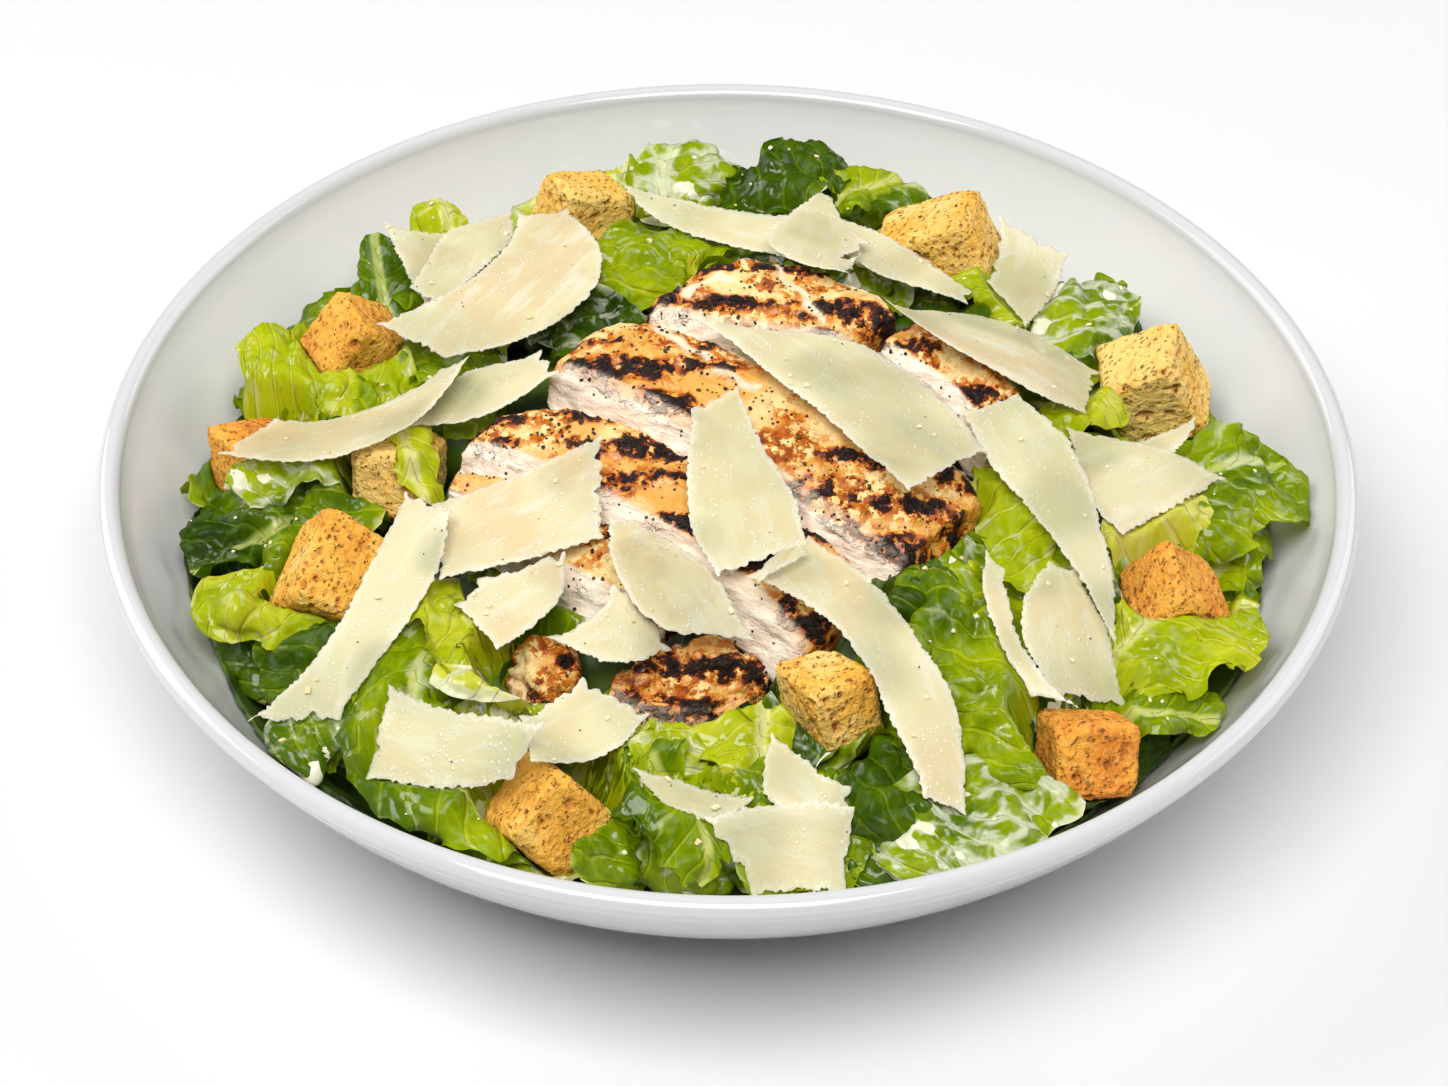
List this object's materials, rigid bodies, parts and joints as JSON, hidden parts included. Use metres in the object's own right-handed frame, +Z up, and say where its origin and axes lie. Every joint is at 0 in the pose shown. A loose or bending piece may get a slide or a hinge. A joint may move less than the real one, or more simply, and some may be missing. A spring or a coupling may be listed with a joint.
{
  "type": "chicken caesar salad in a bowl",
  "caption": "Wide shallow white bowl heaped with romaine leaves, sliced grilled chicken, croutons and cheese shavings, ready to serve.",
  "frame": {"origin": "centre of the bowl's foot ring, on the surface it stands on", "axes": "+Z up along the bowl's axis; -Y is the side towards which the chicken slices fan out; +X is the right when seen from there"},
  "size_m": [0.26, 0.26, 0.0785],
  "materials": {
    "glaze": "glossy white glaze",
    "leaf": "wet, blistered romaine leaf with pale ribs",
    "chicken": "seared, oiled meat with dark grill marks and pale cut faces",
    "crouton": "dry toasted bread with open pores",
    "cheese": "waxy hard cheese with rough edges",
    "dressing": "glossy creamy dressing",
    "seasoning": "dry ground pepper and herb flecks"
  },
  "bodies": {
    "root": {"bowl": "glaze", "chicken_back": "chicken", "chicken_front": "chicken", "chicken_long": "chicken", "chicken_middle": "chicken", "chicken_right": "chicken", "chicken_tip_left": "chicken", "chicken_tip_right": "chicken", "crouton_back_left": "crouton", "crouton_back_right": "crouton", "crouton_front_left": "crouton", "crouton_front_middle": "crouton", "crouton_front_right": "crouton", "crouton_left_edge": "crouton", "crouton_left_lower": "crouton", "crouton_left_soaked": "crouton", "crouton_left_upper": "crouton", "crouton_right_lower": "crouton", "crouton_right_upper": "crouton", "lettuce": "leaf", "shaving_back_right_a": "cheese", "shaving_centre_a": "cheese", "shaving_centre_b": "cheese", "shaving_centre_c": "cheese", "shaving_centre_d": "cheese", "shaving_centre_e": "cheese", "shaving_centre_f": "cheese", "shaving_diagonal": "cheese", "shaving_front_a": "cheese", "shaving_front_b": "cheese", "shaving_front_c": "cheese", "shaving_front_d": "cheese", "shaving_front_left_a": "cheese", "shaving_front_left_b": "cheese", "shaving_left_a": "cheese", "shaving_left_b": "cheese", "shaving_long_left": "cheese", "shaving_right_a": "cheese", "shaving_right_b": "cheese", "shaving_right_c": "cheese", "shaving_right_d": "cheese", "shaving_right_e": "cheese", "shaving_right_f": "cheese", "shaving_top_a": "cheese", "shaving_top_b": "cheese", "shaving_top_c": "cheese", "shaving_upper_left_a": "cheese", "shaving_upper_left_b": "cheese", "shaving_upper_left_c": "cheese"}
  },
  "joints": []
}
